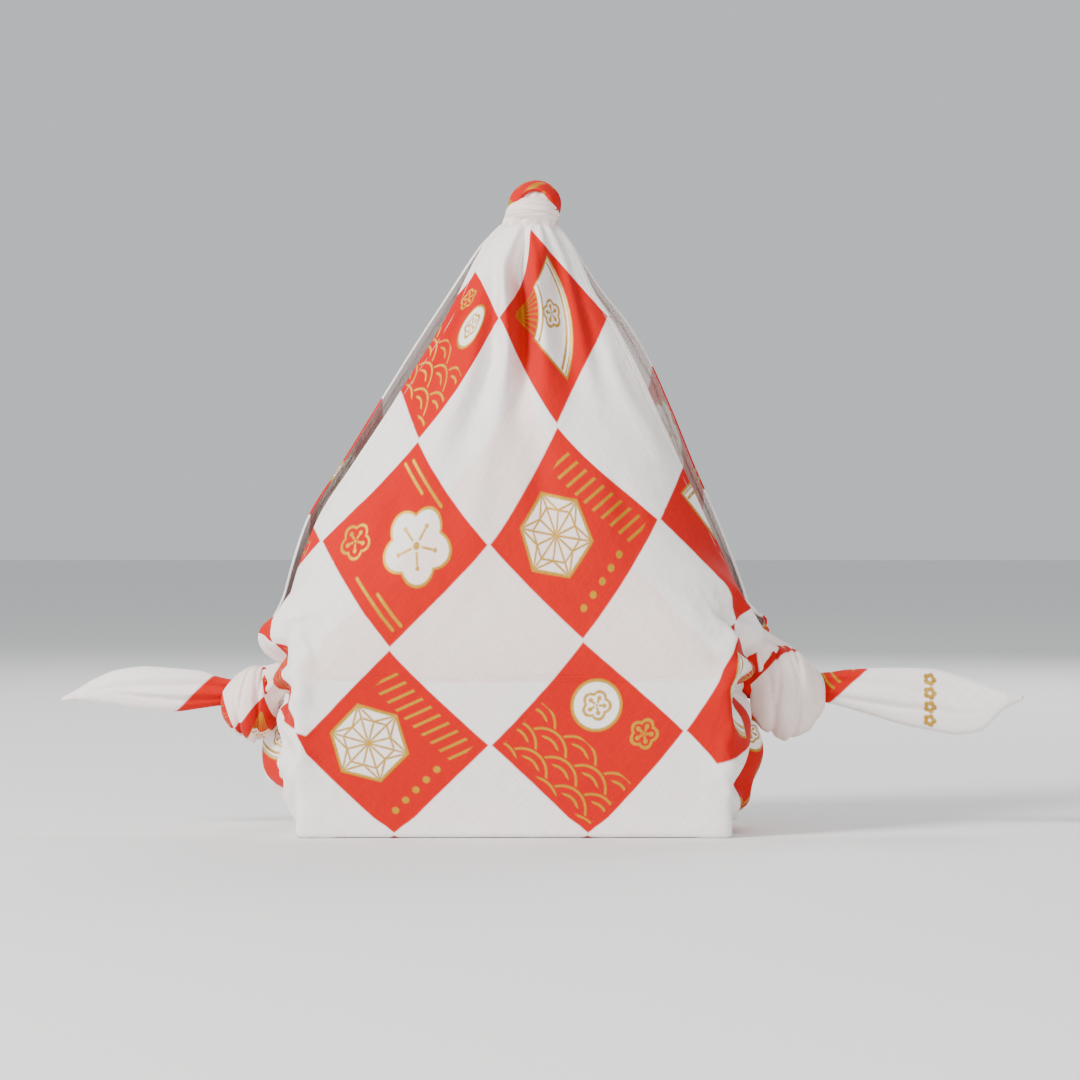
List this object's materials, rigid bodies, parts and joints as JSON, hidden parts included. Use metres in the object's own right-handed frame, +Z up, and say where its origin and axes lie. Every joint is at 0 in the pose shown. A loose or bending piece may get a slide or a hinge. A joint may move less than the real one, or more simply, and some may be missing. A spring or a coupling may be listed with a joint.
{
  "type": "furoshiki wrap",
  "caption": "Square of thin printed cotton tied as a gift wrap: flat-based bag gathered into a knot at the top, with a knot and a tail at each side and an open slit above each.",
  "frame": {"origin": "centre of the flat base, on the surface that the wrap stands on", "axes": "+X towards the right-hand tail seen from the front, +Y from the front panel to the back panel, +Z up towards the top knot"},
  "size_m": [0.3974, 0.105, 0.2674],
  "materials": {
    "cotton": "plain-weave cotton, matte, printed on one side"
  },
  "bodies": {
    "root": {"wrap_cloth": "cotton"}
  },
  "joints": []
}
